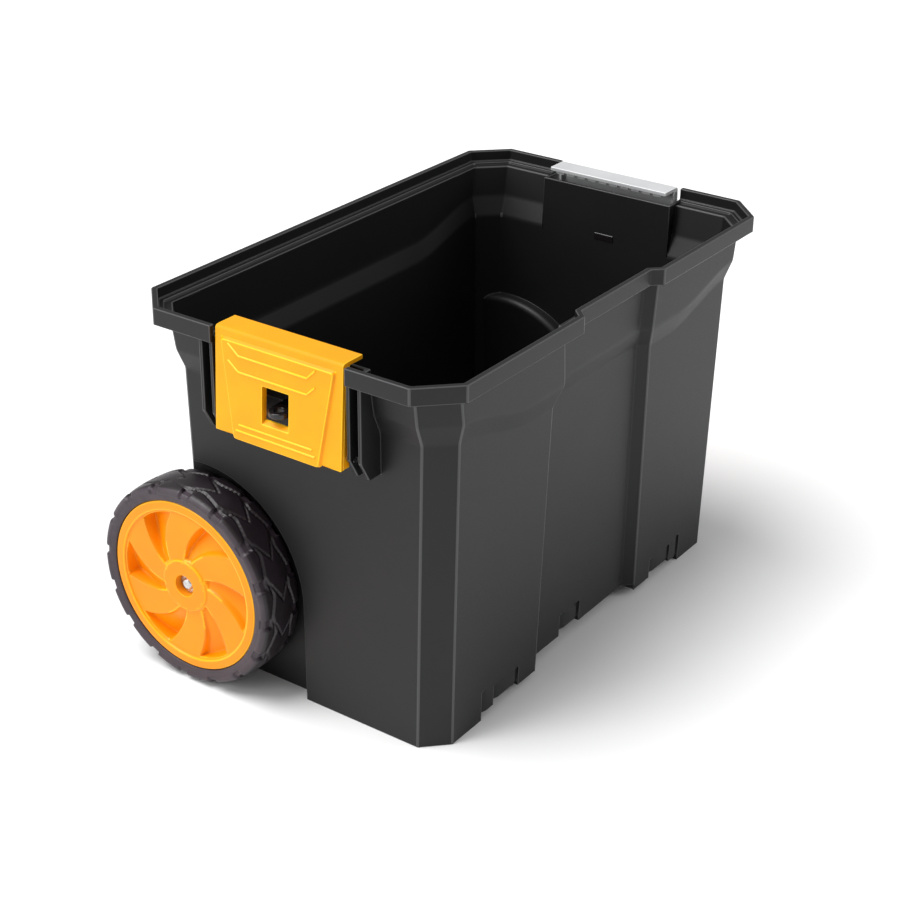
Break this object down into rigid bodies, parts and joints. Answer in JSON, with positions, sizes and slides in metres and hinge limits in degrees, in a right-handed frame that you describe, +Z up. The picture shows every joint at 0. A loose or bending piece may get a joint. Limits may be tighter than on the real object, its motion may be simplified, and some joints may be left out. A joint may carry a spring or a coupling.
{
  "type": "wheeled storage tub",
  "caption": "Open plastic storage tub on two rear wheels, with flared rim, wheel wells and a padlockable flap latch hinged at each end.",
  "frame": {"origin": "centre of the tub's flat underside, on the floor", "axes": "+X to the right-hand latch end, +Y to the rear wall where the wheels are, +Z up"},
  "size_m": [0.5146, 0.3458, 0.331],
  "materials": {
    "tub_plastic": "moulded polypropylene with a fine grain, matte black",
    "yellow_plastic": "moulded, satin amber yellow",
    "pale_grey_plastic": "moulded, satin pale grey",
    "wheel_yellow": "moulded, satin orange yellow",
    "black_nylon": "moulded nylon, glossy black",
    "tyre_rubber": "matte rubber with a block tread",
    "zinc_steel": "bright zinc plate"
  },
  "bodies": {
    "tub": {"tub_body": "tub_plastic", "left_padlock_eye": "black_nylon", "left_latch_pin": "zinc_steel", "left_stub_axle": "zinc_steel", "left_boss_washer": "zinc_steel", "left_lock_nut": "zinc_steel", "left_hub_washer": "zinc_steel", "left_cap_washer": "zinc_steel", "left_push_nut": "zinc_steel", "right_padlock_eye": "black_nylon", "right_latch_pin": "zinc_steel", "right_stub_axle": "zinc_steel", "right_boss_washer": "zinc_steel", "right_lock_nut": "zinc_steel", "right_hub_washer": "zinc_steel", "right_cap_washer": "zinc_steel", "right_push_nut": "zinc_steel"},
    "left_wheel": {"left_wheel_hub": "wheel_yellow", "left_tyre": "tyre_rubber"},
    "left_latch": {"left_latch": "yellow_plastic"},
    "right_wheel": {"right_wheel_hub": "wheel_yellow", "right_tyre": "tyre_rubber"},
    "right_latch": {"right_latch": "pale_grey_plastic"}
  },
  "joints": [
    {"name": "left_wheel_spin", "type": "hinge", "parent": "tub", "child": "left_wheel", "pos_m": [-0.2353, 0.102, 0.0905], "axis": [1, 0, 0], "continuous": true},
    {"name": "left_latch_hinge", "type": "hinge", "parent": "tub", "child": "left_latch", "pos_m": [-0.2403, 0, 0.2525], "axis": [0, -1, 0], "range_deg": [0, 180]},
    {"name": "right_wheel_spin", "type": "hinge", "parent": "tub", "child": "right_wheel", "pos_m": [0.2353, 0.102, 0.0905], "axis": [1, 0, 0], "continuous": true},
    {"name": "right_latch_hinge", "type": "hinge", "parent": "tub", "child": "right_latch", "pos_m": [0.2403, 0, 0.2525], "axis": [0, 1, 0], "range_deg": [0, 180]}
  ]
}
